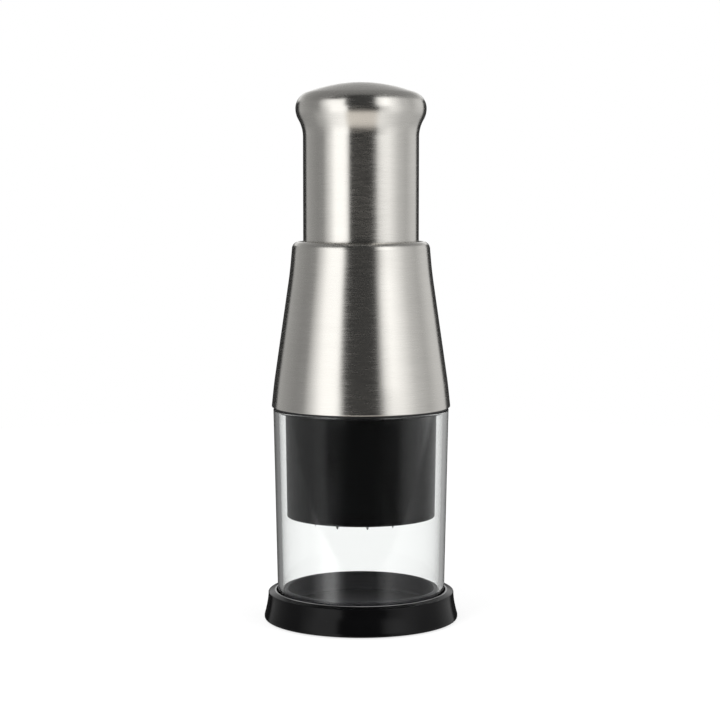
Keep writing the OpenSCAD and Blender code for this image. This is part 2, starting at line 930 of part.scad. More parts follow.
module blade_hub() {
    plate_z = hub_z + plate_t;
    socket_z = hub_z + socket_t;
    flat_at = shaft_r - flat_in + socket_fit;
    color("#26262a")
        difference() {
            union() {
                rotate_extrude()
                    polygon([
                        [0, hub_z],
                        [hub_r, hub_z],
                        [hub_r, cup_top],
                        [hub_r - hub_rim_w, cup_top],
                        [hub_r - hub_rim_w, plate_z],
                        [boss_r, plate_z],
                        [boss_r, boss_top],
                        [0, boss_top]
                    ]);
                spokes(hub_rib_n, boss_r - fit, hub_r - hub_rim_w + fit, hub_rib_w,
                    plate_z - fit, cup_top);
            }
            intersection() {
                translate([0, 0, socket_z])
                    cylinder(r = shaft_r + socket_fit, h = boss_top - socket_z + overrun);
                translate([-flat_at, -boss_r, socket_z])
                    cube([2 * flat_at, 2 * boss_r, boss_top - socket_z + overrun]);
            }
            translate([0, 0, hub_z - overrun])
                cylinder(r = bolt_r + bolt_head_fit, h = socket_t + 2 * overrun);
            translate([0, 0, hub_z - overrun])
                cylinder(r = bolt_head_r + bolt_head_fit, h = bolt_head_h + overrun);
            blade_slots(slot_fit, hub_z - overrun, hub_z + blade_root);
        }
}

module blade_guard() {
    wall_in_r = guard_r - guard_wall;
    bead_z = wiper_z + wiper_t + bead_gap;
    line_z = guard_z + line_rise;
    color("#18181a") {
        rotate_extrude()
            polygon(rounded([
                [wiper_r - wiper_ledge, guard_z, 0],
                [guard_r, guard_z, guard_round],
                [guard_r, line_z, 0],
                [guard_r - line_d, line_z + line_h / 2, 0],
                [guard_r, line_z + line_h, 0],
                [guard_top_r, lip_z, 0],
                [guard_top_r, guard_top, guard_round],
                [guard_top_r - guard_wall, guard_top, guard_round],
                [guard_top_r - guard_wall, lip_z, 0],
                [wall_in_r, bead_z + bead_h + bead_ramp, 0],
                [bead_r, bead_z + bead_h, 0],
                [bead_r, bead_z, 0],
                [wall_in_r, bead_z - bead_gap, 0],
                [wall_in_r, guard_z + guard_lip_t, 0],
                [wiper_r - wiper_ledge, guard_z + guard_lip_t, 0]
            ]));
        for (k = [0:lug_n - 1])
            rotate([0, 0, lug_at + k * 360 / lug_n])
                sector(guard_top_r - fit, lug_r, lug_z, lug_z + lug_h, -lug_half, lug_half);
    }
}

module wiper_disc() {
    color("#2c2c30")
        difference() {
            tube(0, wiper_r, wiper_z, wiper_z + wiper_t);
            blade_slots(wiper_slot, wiper_z - overrun, wiper_z + wiper_t + overrun);
        }
}

base_tray();
foot_ring();
cup();
head_frame();
cone_cover();
guide_ring();
guide_bush();
bush_screws();
return_spring();
press_cap();
cap_core();
stop_ring();
bumper_ring();
spring_washer();
press_shaft();
shaft_washer();
shaft_screw();
blade_hub();
blade_1();
blade_2();
blade_3();
hub_screw();
blade_guard();
wiper_disc();
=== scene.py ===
"""The looks of a plunger food chopper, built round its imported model.

Steel, clear and black shells are turned from their outlines, the blades are folded from a
strip, the spring is wound, and every other piece keeps its own mesh with a finish of its own.
"""

import json
from math import acos, atan, atan2, cos, degrees, pi, radians, sin, tan
from types import SimpleNamespace

import bmesh
import bpy
from bpy.props import FloatProperty, FloatVectorProperty, IntProperty, PointerProperty
from bpy.types import NodeSocket, Operator, Panel, PropertyGroup, Scene
from mathutils import Matrix, Vector


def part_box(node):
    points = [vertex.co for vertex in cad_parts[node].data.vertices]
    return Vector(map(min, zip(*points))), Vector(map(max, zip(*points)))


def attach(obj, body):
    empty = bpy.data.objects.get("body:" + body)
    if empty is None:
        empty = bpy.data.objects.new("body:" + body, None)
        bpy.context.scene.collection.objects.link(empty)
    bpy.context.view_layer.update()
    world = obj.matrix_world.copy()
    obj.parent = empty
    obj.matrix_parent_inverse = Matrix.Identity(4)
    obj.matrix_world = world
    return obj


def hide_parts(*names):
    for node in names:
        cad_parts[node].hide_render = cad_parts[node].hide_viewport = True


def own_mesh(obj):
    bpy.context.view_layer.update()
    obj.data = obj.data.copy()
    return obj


bl_info = {
    "name": "Plunger food chopper",
    "version": (1, 0, 0),
    "blender": (4, 5, 0),
    "location": "3D View > Sidebar > Chopper",
    "description": "Builds the visible pieces, the finishes and the studio of a food chopper",
    "category": "Object",
}

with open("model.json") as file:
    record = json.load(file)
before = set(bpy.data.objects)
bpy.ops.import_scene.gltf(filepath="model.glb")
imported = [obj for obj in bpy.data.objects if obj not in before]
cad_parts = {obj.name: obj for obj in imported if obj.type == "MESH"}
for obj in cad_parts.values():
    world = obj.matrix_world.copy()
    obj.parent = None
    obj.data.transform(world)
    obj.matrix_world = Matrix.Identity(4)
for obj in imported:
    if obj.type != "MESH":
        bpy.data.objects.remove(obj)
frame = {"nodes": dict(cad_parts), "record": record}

# Outlines are written in millimetres, and objects are in metres
MM = 0.001
# Parts of a turn in which a round piece is made
TURN_STEPS = 180
# Steps in which a fillet or an arc of an outline is made, the handle's crown and dome,
# the tray's skirt and a turn of the spring, and the sides of the spring's wire
ARC_STEPS = 8
LONG_ARC = 16
SHORT_ARC = 5
CROWN_ARC = 20
DOME_ARC = 24
SKIRT_STEPS = 24
RINGS_PER_TURN = 36
WIRE_SIDES = 14
# Faces that meet at more than this angle keep a sharp edge between them
SHARP_ANGLE = radians(32)
# A point nearer to the axis than this lies on it, in millimetres
ON_AXIS = 1e-6
# A side of an outline longer than this gets a point this far from each end, in millimetres
LONG_SIDE = 1.5
SUPPORT_GAP = 0.12
# Share of a steel sheet's thickness to which its cut edges are rounded
CUT_EDGE = 0.4
# Overlap of pieces that are merged into one, in millimetres
OVERLAP = 0.1


def extent(node):
    """Lowest and highest point and outer radius of a round node, in millimetres."""
    first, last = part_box(node)
    return first.z / MM, last.z / MM, last.x / MM


def length(name, value, about):
    """A property that holds a length, whose default is given in millimetres."""
    return FloatProperty(
        name=name, description=about, default=value * MM, min=0, precision=5,
        subtype="DISTANCE", unit="LENGTH",
    )


def colour(name, value, about):
    """A property that holds a colour."""
    return FloatVectorProperty(
        name=name, description=about, default=value, size=3, min=0, max=1, subtype="COLOR",
    )


def factor(name, value, about, least, most):
    """A property that holds a plain value between its limits."""
    return FloatProperty(
        name=name, description=about, default=value, min=least, max=most, subtype="FACTOR",
    )


def angle(name, value, about):
    """A property that holds an angle, whose default is given in degrees."""
    return FloatProperty(
        name=name, description=about, default=radians(value),
        subtype="ANGLE", unit="ROTATION",
    )


def number(name, value, about, least, most):
    """A property that holds how many there are."""
    return IntProperty(name=name, description=about, default=value, min=least, max=most)


class HandleSizes(PropertyGroup):
    """Sizes of the steel handle."""

    side_r: length("Side radius", 17.42, "Outer radius of the straight side")
    wall: length("Wall", 0.6, "Thickness of the steel")
    flare_h: length("Flare height", 8.5, "Length of the curve from side to bulge")
    crown_h: length("Crown height", 7.8, "Height above the widest part")
    crown_edge_r: length("Crown edge", 5.2, "Radius of the crown's edge")
    belly_share: factor("Belly share", 0.39, "Share of the flare that curves outward", 0, 1)


class HeadSizes(PropertyGroup):
    """Sizes of the steel cover of the head."""

    top_r: length("Top radius", 20.84, "Outer radius under the shoulder")
    wall: length("Wall", 0.6, "Thickness of the steel")
    band_h: length("Band height", 7.3, "Height of the steeper band")
    band_in: length("Band lean", 0.77, "How far the band leans in")
    neck_h: length("Neck height", 6.8, "Height of the steeper neck")
    neck_w: length("Neck lean", 0.61, "How far the neck leans in")
    bend_r: length("Bend radius", 110.0, "Radius of the soft bends")
    shoulder_r: length("Shoulder radius", 2.45, "Radius of the shoulder")
    opening_r: length("Opening radius", 18.9, "Radius of the opening")
    hem_w: length("Hem width", 1.2, "Width of the folded hem")
    hem_h: length("Hem height", 1.35, "Height of the folded hem")
    hem_round: length("Hem edge", 0.3, "Radius of the hem's outer edge")


class CupSizes(PropertyGroup):
    """Sizes of the clear cup."""

    foot_r: length("Foot radius", 25.3, "Outer radius at the lower rim")
    wall: length("Wall", 1.6, "Thickness of the wall")
    rim_round: length("Rim edge", 0.4, "Radius of the edges of both rims")


class GuardSizes(PropertyGroup):
    """Sizes of the blade guard."""

    foot_r: length("Foot radius", 22.51, "Outer radius of the lower edge")
    top_r: length("Top radius", 22.91, "Outer radius of the upper part")
    straight_z: length("Straight from", 62.0, "Height above which it is straight")
    wall: length("Wall", 1.2, "Thickness of the wall")
    edge: length("Edge", 0.3, "Radius of the edges")
    ledge_r: length("Ledge radius", 20.2, "Inner radius of the ledge")
    ledge_t: length("Ledge", 1.0, "Thickness of the ledge")
    bead_r: length("Bead radius", 20.76, "Inner radius of the bead")
    bead_z: length("Bead height", 34.5, "Height of the bead's lower edge")
    bead_h: length("Bead thickness", 0.4, "Thickness of the bead")
    line_up: length("Line height", 0.9, "Height above the lower edge")
    line_h: length("Line width", 0.25, "Width of the fine line")
    line_d: length("Line depth", 0.12, "Depth of the fine line")
    lug_z: length("Lug height", 69.1, "Height of the lugs' lower side")
    lug_h: length("Lug thickness", 2.0, "Thickness of the lugs")
    lug_count: number("Lugs", 3, "Number of lugs", 2, 6)
    lug_at: angle("First lug at", 24, "Where the first lug starts")
    lug_sweep: angle("Lug length", 12, "How far a lug runs round")


class TraySizes(PropertyGroup):
    """Sizes of the tray."""

    rim_r: length("Rim radius", 28.3, "Outer radius of the rim")
    rim_z: length("Rim height", 8.4, "Height of the rim's outer edge")
    rim_h: length("Rim band", 0.5, "Height of the straight band under the rim")
    rim_round: length("Rim edges", 0.3, "Radius of both edges of the rim")
    crown: length("Rim crown", 0.7, "How much the rim rises to the cup")
    mouth_r: length("Mouth radius", 25.75, "Inner radius of the rim")
    groove_r: length("Groove radius", 25.6, "Outer radius of the groove's bottom")
    groove_z: length("Groove height", 3.2, "Height of the groove's bottom")
    plug_r: length("Plug radius", 23.45, "Outer radius of the wall inside the cup")
    plug_z: length("Plug height", 9.8, "Height of the wall inside the cup")
    plug_round: length("Plug edges", 0.4, "Radius of that wall's edges")
    dish_r: length("Dish radius", 22.3, "Inner radius of the dish")
    dish_z: length("Dish height", 4.0, "Height of the dish's floor")
    dish_round: length("Dish edge", 0.8, "Radius between floor and wall")
    floor_t: length("Floor", 1.6, "Thickness of the dish's floor")
    foot_h: length("Foot band", 1.0, "Height of the straight band")
    foot_round: length("Foot edge", 0.5, "Radius of the outer lower edge")
    slot_in: length("Slot", 2.3, "How far the slot reaches in")
    slot_play: length("Slot play", 0.1, "Room round the foot ring")
    lip_w: length("Lip", 0.9, "Width of the lip inside the slot")
    edge: length("Lower edges", 0.15, "Radius of the edges of the slot and the lip")
    rib_h: length("Rib height", 1.3, "How far the ribs reach down")
    rib_w: length("Rib width", 1.2, "Thickness of the ribs")
    rib_ring_r: length("Rib ring", 5.0, "Inner radius of the ribs' ring")
    rib_count: number("Ribs", 6, "Number of ribs", 3, 12)
    flare: factor("Flare curve", 1.6, "How hollow the skirt's flare is", 1, 3)


class BladeSizes(PropertyGroup):
    """Sizes of the folded blades."""

    thick: length("Strip", 0.5, "Thickness of the strip")
    fold_r: length("Fold radius", 0.9, "Radius of the folds' middle line")
    corner_r: length("Corner radius", 19.2, "Radius at which the outer folds lie")
    valley_r: length("Valley radius", 8.5, "Radius at which the inner fold lies")
    end_r: length("End radius", 5.5, "Radius at which the strip ends")
    tip_h: length("Tip height", 1.05, "How far the tips reach below the cutting edge")
    tip_w: length("Tip width", 0.65, "Length of a tip's slope on each side")
    bevel_h: length("Bevel", 0.7, "Height of the ground bevel")
    edge_w: length("Edge", 0.04, "Width of the cutting edge")
    spacing: length("Spacing", 0.5, "Distance between points along the strip")
    corner_step: angle("Corner step", 25.7, "Angle between outer folds")
    end_turn: angle("End turn", 7.5, "Angle from the last fold to the end")
    at: angle("First blade at", -97.85, "Direction of the first blade")


class SpringSizes(PropertyGroup):
    """Sizes of the return spring."""

    wire: length("Wire", 1.2, "Diameter of the wire")
    mean_r: length("Mean radius", 10.6, "Radius to the middle of the wire")
    end_pitch: length("End pitch", 1.8, "Rise of the first and the last turn")
    short: length("Pressed length", 15.1, "Length when pressed down")
    turns: number("Turns", 10, "Number of turns", 4, 16)


class Finishes(PropertyGroup):
    """Colours of the finishes."""

    steel: colour("Steel", (0.785, 0.765, 0.722), "Brushed stainless steel")
    black: colour("Black", (0.003, 0.003, 0.0033), "Glossy black plastic")
    greyer_black: colour("Greyer black", (0.066, 0.066, 0.0726), "Greyer black plastic")
    inner: colour("Inner black", (0.008, 0.008, 0.0085), "Matt black plastic")
    clear: colour("Clear", (0.975, 0.985, 0.98), "Clear plastic of the cup")
    bearing: colour("Bearing", (0.8, 0.78, 0.72), "White bearing plastic")
    blade: colour("Blade", (0.74, 0.74, 0.73), "Ground blade steel")
    zinc: colour("Zinc", (0.66, 0.67, 0.68), "Plated steel")
    rubber: colour("Rubber", (0.03, 0.03, 0.03), "Soft black rubber")


class Studio(PropertyGroup):
    """The camera and the light."""

    camera: FloatVectorProperty(
        name="Camera", description="Place of the camera",
        default=(-0.0003, -0.5886, 0.1322), precision=4, subtype="TRANSLATION", unit="LENGTH",
    )
    pitch: angle("Pitch", 5.15, "How far the camera looks down")
    lens: FloatProperty(
        name="Lens", description="Focal length on a sensor 36 mm wide",
        default=97.5, min=10, unit="CAMERA",
    )
    floor_r: length("Floor radius", 500.0, "Radius of the pale floor")
    plain: factor("Plain light", 0.75, "Level of the even light", 0, 2)


GROUPS = {
    "handle": HandleSizes,
    "head": HeadSizes,
    "cup": CupSizes,
    "guard": GuardSizes,
    "tray": TraySizes,
    "blades": BladeSizes,
    "spring": SpringSizes,
    "finishes": Finishes,
    "studio": Studio,
}


def sizes(context, name):
    """The values of one property group, with lengths in millimetres."""
    group_at = getattr(context.scene, "chopper_" + name)
    values = {}
    for key in GROUPS[name].__annotations__:
        value = getattr(group_at, key)
        is_length = group_at.bl_rna.properties[key].unit == "LENGTH"
        values[key] = value / MM if is_length else value
    return SimpleNamespace(**values)


# Outlines: lists of (radius, height) points in millimetres


def arc(centre, radius, start, end, steps=ARC_STEPS):
    """Points on an arc round a centre, from one angle to another, in degrees."""
    angles = [radians(start + (end - start) * k / steps) for k in range(steps + 1)]
    return [Vector(centre) + radius * Vector((cos(a), sin(a))) for a in angles]


def rounded(corners, steps=ARC_STEPS):
    """An outline of (radius, height, fillet) corners, each rounded by its fillet."""
    points = []
    for i, (x, y, fillet) in enumerate(corners):
        here = Vector((x, y))
        if not fillet:
            points.append(here)
            continue
        before = (Vector(corners[i - 1][:2]) - here).normalized()
        after = (Vector(corners[(i + 1) % len(corners)][:2]) - here).normalized()
        half = before.angle(after) / 2
        centre = here + (before + after).normalized() * fillet / sin(half)
        start = here + before * fillet / tan(half) - centre
        end = here + after * fillet / tan(half) - centre
        sweep = pi - 2 * half
        for k in range(steps + 1):
            first = sin(sweep * (steps - k) / steps)
            last = sin(sweep * k / steps)
            points.append(centre + (start * first + end * last) / sin(sweep))
    return points


def moved(line, distance):
    """A line moved sideways to its left; a point on the axis stays on it."""
    result = []
    for i, here in enumerate(line):
        steps = []
        if i > 0:
            steps.append((here - line[i - 1]).normalized())
        if i < len(line) - 1:
            steps.append((line[i + 1] - here).normalized())
        sides = [Vector((-s.y, s.x)) for s in steps]
        side = sides[0] if len(sides) == 1 else (sides[0] + sides[1]) / (1 + sides[0].dot(sides[1]))
        point = here + side * distance
        result.append(Vector((0, point.y)) if here.x < ON_AXIS else point)
    return result


def sheet_metal(line, wall, edge):
    """The outline of a turned sheet: its outer line, its inner line and rounded ends."""
    outline = line + moved(line, wall)[::-1]
    fillet_at = {0, len(line) - 1, len(line), len(outline) - 1}
    return rounded([
        (p.x, p.y, edge if i in fillet_at and p.x > ON_AXIS else 0)
        for i, p in enumerate(outline)
    ], steps=4)


# Meshes


def linked(name, data):
    """A new object in the scene."""
    thing = bpy.data.objects.new(name, data)
    bpy.context.scene.collection.objects.link(thing)
    return thing


def finished(bm, name):
    """Turns a bmesh into an object at the origin, smooth between its sharp edges."""
    bmesh.ops.remove_doubles(bm, verts=bm.verts, dist=1e-8)
    bmesh.ops.recalc_face_normals(bm, faces=bm.faces)
    for face in bm.faces:
        face.smooth = True
    for edge in bm.edges:
        edge.smooth = len(edge.link_faces) == 2 and edge.calc_face_angle() < SHARP_ANGLE
    mesh = bpy.data.meshes.new(name)
    bm.to_mesh(mesh)
    bm.free()
    return linked(name, mesh)


def supported(outline):
    """An outline with a point near both ends of each long side, so that it shades flat."""
    points = []
    for here, after in zip(outline, outline[1:] + outline[:1]):
        here, after = Vector(here[:2]), Vector(after[:2])
        points.append(here)
        if (after - here).length > LONG_SIDE:
            way = (after - here).normalized() * SUPPORT_GAP
            points += [here + way, after - way]
    return points


def turn(bm, outline, start=0.0, sweep=2 * pi, steps=TURN_STEPS):
    """Adds a closed outline turned about the axis, all the way round or over a part of it."""
    outline = supported(outline)
    whole = sweep > 2 * pi - 1e-9
    angles = [start + sweep * k / steps for k in range(steps if whole else steps + 1)]
    rings = []
    for point in outline:
        place = [
            Vector((point[0] * cos(a), point[0] * sin(a), point[1])) * MM
            for a in angles
        ]
        if point[0] < ON_AXIS:
            place = place[:1]
        rings.append([bm.verts.new(p) for p in place])
    for here, there in zip(rings, rings[1:] + rings[:1]):
        for k in range(steps):
            after = (k + 1) % len(angles)
            corners = [here[k % len(here)], here[after % len(here)]]
            corners += [there[after % len(there)], there[k % len(there)]]
            corners = list(dict.fromkeys(corners))
            if len(corners) > 2:
                bm.faces.new(corners)
    if not whole:
        bm.faces.new([ring[0] for ring in rings])
        bm.faces.new([ring[-1] for ring in rings[::-1]])


def turned(name, outline):
    """An object turned from a closed outline."""
    bm = bmesh.new()
    turn(bm, outline)
    return finished(bm, name)


def sweep_rings(bm, rings):
    """Adds a closed tube through rings of points in millimetres, with flat ends."""
    verts = [[bm.verts.new(Vector(p) * MM) for p in ring] for ring in rings]
    count = len(rings[0])
    for here, there in zip(verts, verts[1:]):
        for k in range(count):
            after = (k + 1) % count
            bm.faces.new((here[k], here[after], there[after], there[k]))
    bm.faces.new(verts[0][::-1])
    bm.faces.new(verts[-1])


def merged(piece, name, *others):
    """One closed piece from overlapping ones, which are removed."""
    for other in others:
        union = piece.modifiers.new("union", "BOOLEAN")
        union.operation = "UNION"
        union.solver = "EXACT"
        union.object = other
    bm = bmesh.new()
    bm.from_object(piece, bpy.context.evaluated_depsgraph_get())
    for gone in (piece, *others):
        bpy.data.objects.remove(gone)
    return finished(bm, name)


def spokes(count, inner, outer, width, bottom, top):
    """Flat spokes between two radii and two heights, as one object."""
    bm = bmesh.new()
    for k in range(count):
        at = Matrix.Rotation(2 * pi * k / count, 4, "Z")
        middle = Vector(((inner + outer) / 2, 0, (bottom + top) / 2)) * MM
        scale = Matrix.Diagonal((*(Vector((outer - inner, width, top - bottom)) * MM), 1))
        bmesh.ops.create_cube(bm, size=1, matrix=at @ Matrix.Translation(middle) @ scale)
    return finished(bm, "spokes")


def placed(piece, body, slot, material, *nodes):
    """Gives a piece its finish and its body, and hides the nodes it stands for."""
    piece.data.materials.clear()
    piece.data.materials.append(material)
    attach(piece, body)
    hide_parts(*nodes)
    return piece


# Shader nodes


def add(tree, kind, inputs=None, **settings):
    """Adds a node; its inputs, by name or number, are values or sockets to link from."""
    node = tree.nodes.new(kind)
    for key, value in settings.items():
        setattr(node, key, value)
    for key, value in (inputs or {}).items():
        if isinstance(value, NodeSocket):
            tree.links.new(value, node.inputs[key])
        else:
            node.inputs[key].default_value = value
    return node


def math_node(operation, *values, kind="ShaderNodeMath"):
    """The outcome of one sum on a socket and other sockets or values."""
    inputs = dict(enumerate(values))
    return add(values[0].id_data, kind, inputs, operation=operation).outputs[0]


def vector_node(operation, *values):
    """The same with vectors."""
    return math_node(operation, *values, kind="ShaderNodeVectorMath")


def between(value, low_in, high_in, low_out=0.0, high_out=1.0, kind="LINEAR"):
    """A socket's value carried from one range to another, and held at its ends."""
    inputs = {
        "Value": value, "From Min": low_in, "From Max": high_in,
        "To Min": low_out, "To Max": high_out,
    }
    node = add(value.id_data, "ShaderNodeMapRange", inputs, interpolation_type=kind)
    return node.outputs["Result"]


def product(first, *others):
    """The product of sockets and values."""
    for other in others:
        first = math_node("MULTIPLY", first, other)
    return first


def mixed(factor, first, second):
    """A colour between two colours, which may be greys or sockets."""
    ends = []
    for end in (first, second):
        if isinstance(end, float):
            end = (end, end, end)
        ends.append(end if isinstance(end, NodeSocket) else (*end, 1))
    inputs = {0: factor, 6: ends[0], 7: ends[1]}
    return add(factor.id_data, "ShaderNodeMix", inputs, data_type="RGBA").outputs[2]


def split(vector):
    """The X, Y and Z of a vector."""
    return add(vector.id_data, "ShaderNodeSeparateXYZ", {0: vector}).outputs


def from_axis(tree):
    """A point's place in its object, the same without its height, and its radius."""
    place = add(tree, "ShaderNodeTexCoord").outputs["Object"]
    flat = vector_node("MULTIPLY", place, (1, 1, 0))
    radius = add(tree, "ShaderNodeVectorMath", {0: flat}, operation="LENGTH").outputs["Value"]
    return place, flat, radius


def empty_tree(owner):
    """The node tree of a material or a world, with nothing in it."""
    owner.use_nodes = True
    owner.node_tree.nodes.clear()
    return owner.node_tree


def new_group(name, inputs, build):
    """A node group with named inputs and outputs."""
    tree = bpy.data.node_groups.new(name, "ShaderNodeTree")
    kind = "NodeSocketFloat"
    for key, value in inputs.items():
        socket = tree.interface.new_socket(key, in_out="INPUT", socket_type=kind)
        socket.default_value = value
    results = build(tree, tree.nodes.new("NodeGroupInput").outputs)
    for key in results:
        tree.interface.new_socket(key, in_out="OUTPUT", socket_type=kind)
    add(tree, "NodeGroupOutput", results)
    return tree


def effect(tree, name, inputs, build, values):
    """The outputs of a shared effect, with a material's own values; it is built once."""
    shared = bpy.data.node_groups.get(name) or new_group(name, inputs, build)
    return add(tree, "ShaderNodeGroup", values, node_tree=shared).outputs


def turned_brushing(tree, **values):
    """Fine streaks that run round the axis, as a belt leaves them on turned steel."""

    def build(tree, given):
        place, flat, radius = from_axis(tree)
        around = split(vector_node("NORMALIZE", flat))
        height = split(place)["Z"]
        streaks = []
        for density, spread in ((given["Density"], given["Wander"]), (given["Bands"], 1.0)):
            across, along = product(radius, density), product(height, density)
            east, north = product(around["X"], spread), product(around["Y"], spread)
            where = add(tree, "ShaderNodeCombineXYZ", {0: across, 1: along, 2: east})
            inputs = {"Vector": where.outputs[0], "W": north, "Scale": 1.0, "Detail": 2.0}
            noise = add(tree, "ShaderNodeTexNoise", inputs, noise_dimensions="4D")
            streaks.append(noise.outputs["Fac"])
        return {"Streaks": streaks[0], "Bands": streaks[1]}

    inputs = {"Density": 3600.0, "Bands": 420.0, "Wander": 5.0}
    return effect(tree, "Turned brushing", inputs, build, values)


def moulded_grain(tree, **values):
    """The faint grain and cloudiness of a moulded surface."""

    def build(tree, given):
        place = add(tree, "ShaderNodeTexCoord").outputs["Object"]
        inputs = {"Vector": place, "Scale": given["Grain"], "Detail": 3.0}
        fine = add(tree, "ShaderNodeTexNoise", inputs).outputs["Fac"]
        inputs = {"Vector": place, "Scale": given["Cloud"], "Detail": 2.0, "Roughness": 0.4}
        broad = add(tree, "ShaderNodeTexNoise", inputs).outputs["Fac"]
        return {"Grain": fine, "Cloud": broad}

    inputs = {"Grain": 9000.0, "Cloud": 90.0}
    return effect(tree, "Moulded grain", inputs, build, values)


def finish(build):
    """Makes a material from a function that gives its Principled shader's inputs."""

    def make(name, *given, **settings):
        material = bpy.data.materials.new(name)
        tree = empty_tree(material)
        shader = add(tree, "ShaderNodeBsdfPrincipled", build(tree, *given, **settings))
        add(tree, "ShaderNodeOutputMaterial", {"Surface": shader.outputs["BSDF"]})
        return material

    return make


def shaded(base, factor):
    """A colour made darker or brighter."""
    return [min(1.0, c * factor) for c in base]


def bump(height, strength, depth):
    """A normal from a height, whose depth is in metres."""
    inputs = {"Strength": strength, "Distance": depth, "Height": height}
    return add(height.id_data, "ShaderNodeBump", inputs).outputs["Normal"]


@finish
def turned_steel(tree, base, rough, density=3600.0, contrast=0.06, anisotropy=0.75):
    """Steel brushed round the axis."""
    marks = turned_brushing(tree, Density=density)
    both = math_node("ADD", marks["Streaks"], product(marks["Bands"], 0.5))
    dark, bright = shaded(base, 1 - contrast), shaded(base, 1 + contrast / 2)
    around = add(tree, "ShaderNodeTangent", direction_type="RADIAL", axis="Z")
    return {
        "Base Color": mixed(between(both, 0.45, 1.05), dark, bright),
        "Metallic": 1.0,
        "Roughness": between(marks["Streaks"], 0.32, 0.68, rough * 0.84, rough * 1.16),
        "Anisotropic": anisotropy,
        "Anisotropic Rotation": 0.25,
        "Normal": bump(marks["Streaks"], 0.012, 0.00002),
        "Tangent": around.outputs[0],
    }


@finish
def moulded_plastic(tree, base, rough, specular=0.5, grain=9000.0, relief=0.015, use=None):
    """Moulded plastic with a faint grain.

    Where asked for, use makes it a lighter grey in swirls inside a radius, and adds a painted
    highlight: a pale, broken line round an edge.
    """
    marks = moulded_grain(tree, Grain=grain)
    tone = between(marks["Cloud"], 0.35, 0.65)
    hue = mixed(tone, shaded(base, 0.85), shaded(base, 1.15))
    gloss = between(marks["Cloud"], 0.3, 0.7, rough * 0.92, rough * 1.1)
    if use:
        place, _, away = from_axis(tree)
        # Inside the dish radius the black turns a lighter grey in swirls, and rougher
        inside = between(away, use["dish_r"], use["dish_r"] + use["fade"], 1.0, 0.0)
        swirls = turned_brushing(tree, Density=1600.0, Wander=3.0)
        greyer_swirls = product(inside, between(swirls["Streaks"], 0.2, 0.8, 0.7))
        hue = mixed(greyer_swirls, hue, use["dish_grey"])
        gloss = add(tree, "ShaderNodeMix", {0: inside, 2: gloss, 3: use["dish_rough"]}).outputs[0]
        # Painted highlight: a pale, broken line round the edge at edge_r and edge_z
        off = math_node("ABSOLUTE", math_node("SUBTRACT", away, use["edge_r"]))
        edge_z, width = use["edge_z"], use["edge_w"]
        line = between(off, width / 2, width, 1.0, 0.0)
        at_edge = between(split(place)["Z"], edge_z - width, edge_z)
        highlight_breaks = between(marks["Cloud"], 0.35, 0.6, 0.4)
        hue = mixed(product(line, at_edge, highlight_breaks), hue, use["painted_highlight_grey"])
    return {
        "Base Color": hue,
        "Roughness": gloss,
        "Specular IOR Level": specular,
        "Normal": bump(marks["Grain"], relief, 0.00003),
    }


@finish
def clear_plastic(tree, base):
    """Clear moulded plastic, sharp in its gloss, with the faint waves of its mould."""
    marks = moulded_grain(tree, Cloud=60.0)
    return {
        "Base Color": (*base, 1),
        "Roughness": 0.0,
        "IOR": 1.42,
        "Transmission Weight": 1.0,
        "Normal": bump(marks["Cloud"], 0.1, 0.0001),
    }


@finish
def blade_steel_with_painted_shade(tree, base, edge_z, bevel_h):
    """Blade steel, with painted shade: much darker over the ground bevel along its edge."""
    marks = turned_brushing(tree, Density=5200.0)
    height = split(add(tree, "ShaderNodeTexCoord").outputs["Object"])["Z"]
    top = (edge_z + bevel_h) * MM
    # Painted shade: the bevel's colour is darkened to 0.4 of the steel's
    ground = between(height, top - bevel_h * MM / 8, top, 1.0, 0.0)
    tone = mixed(marks["Streaks"], shaded(base, 0.82), base)
    return {
        "Base Color": mixed(ground, tone, shaded(base, 0.4)),
        "Metallic": 1.0,
        "Roughness": between(ground, 0.0, 1.0, 0.3, 0.36),
        "Normal": bump(marks["Streaks"], 0.1, 0.00002),
    }


@finish
def soft_rubber(tree, base):
    """Matt rubber with a powdery bloom."""
    marks = moulded_grain(tree, Grain=2600.0, Cloud=300.0)
    return {
        "Base Color": mixed(marks["Cloud"], shaded(base, 0.7), shaded(base, 1.5)),
        "Roughness": between(marks["Cloud"], 0.3, 0.7, 0.68, 0.85),
        "Normal": bump(marks["Grain"], 0.25, 0.00005),
    }


class PieceOperator:
    """What the operators share."""

    bl_options = {"REGISTER", "UNDO"}

    def execute(self, context):
        self.make(context, context.scene.chopper_finishes)
        return {"FINISHED"}


class CHOPPER_OT_handle(PieceOperator, Operator):
    """Turn the steel handle: side, hollow flare, bulge and domed crown"""

    bl_idname = "chopper.handle"
    bl_label = "Steel handle"

    def make(self, context, colours):
        size = sizes(context, "handle")
        bottom, top, bulge = extent("press_cap")
        side, bulge_z = size.side_r, top - size.crown_h
        out = bulge - side
        lean = 2 * atan(out / size.flare_h)
        both = size.flare_h / sin(lean)
        belly = size.belly_share * both
        hollow = both - belly
        lean = degrees(lean)
        edge_x = bulge - size.crown_edge_r
        dome = (edge_x**2 + size.crown_h**2 - size.crown_edge_r**2) / (
            2 * (size.crown_h - size.crown_edge_r)
        )
        dome_from = degrees(atan2(bulge_z - top + dome, edge_x))
        line = [Vector((side, bottom))]
        line += arc((side + hollow, bulge_z - size.flare_h), hollow, 180, 180 - lean, LONG_ARC)
        line += arc((bulge - belly, bulge_z), belly, -lean, 0, LONG_ARC)[1:]
        line += arc((edge_x, bulge_z), size.crown_edge_r, 0, dome_from, CROWN_ARC)[1:]
        line += arc((0, top - dome), dome, dome_from, 90, DOME_ARC)[1:]
        line[-1].x = 0
        shell = turned("handle_shell", sheet_metal(line, size.wall, size.wall * CUT_EDGE))
        steel = turned_steel("handle steel", colours.steel, 0.24)
        placed(shell, "plunger", "brushed_steel", steel, "press_cap")


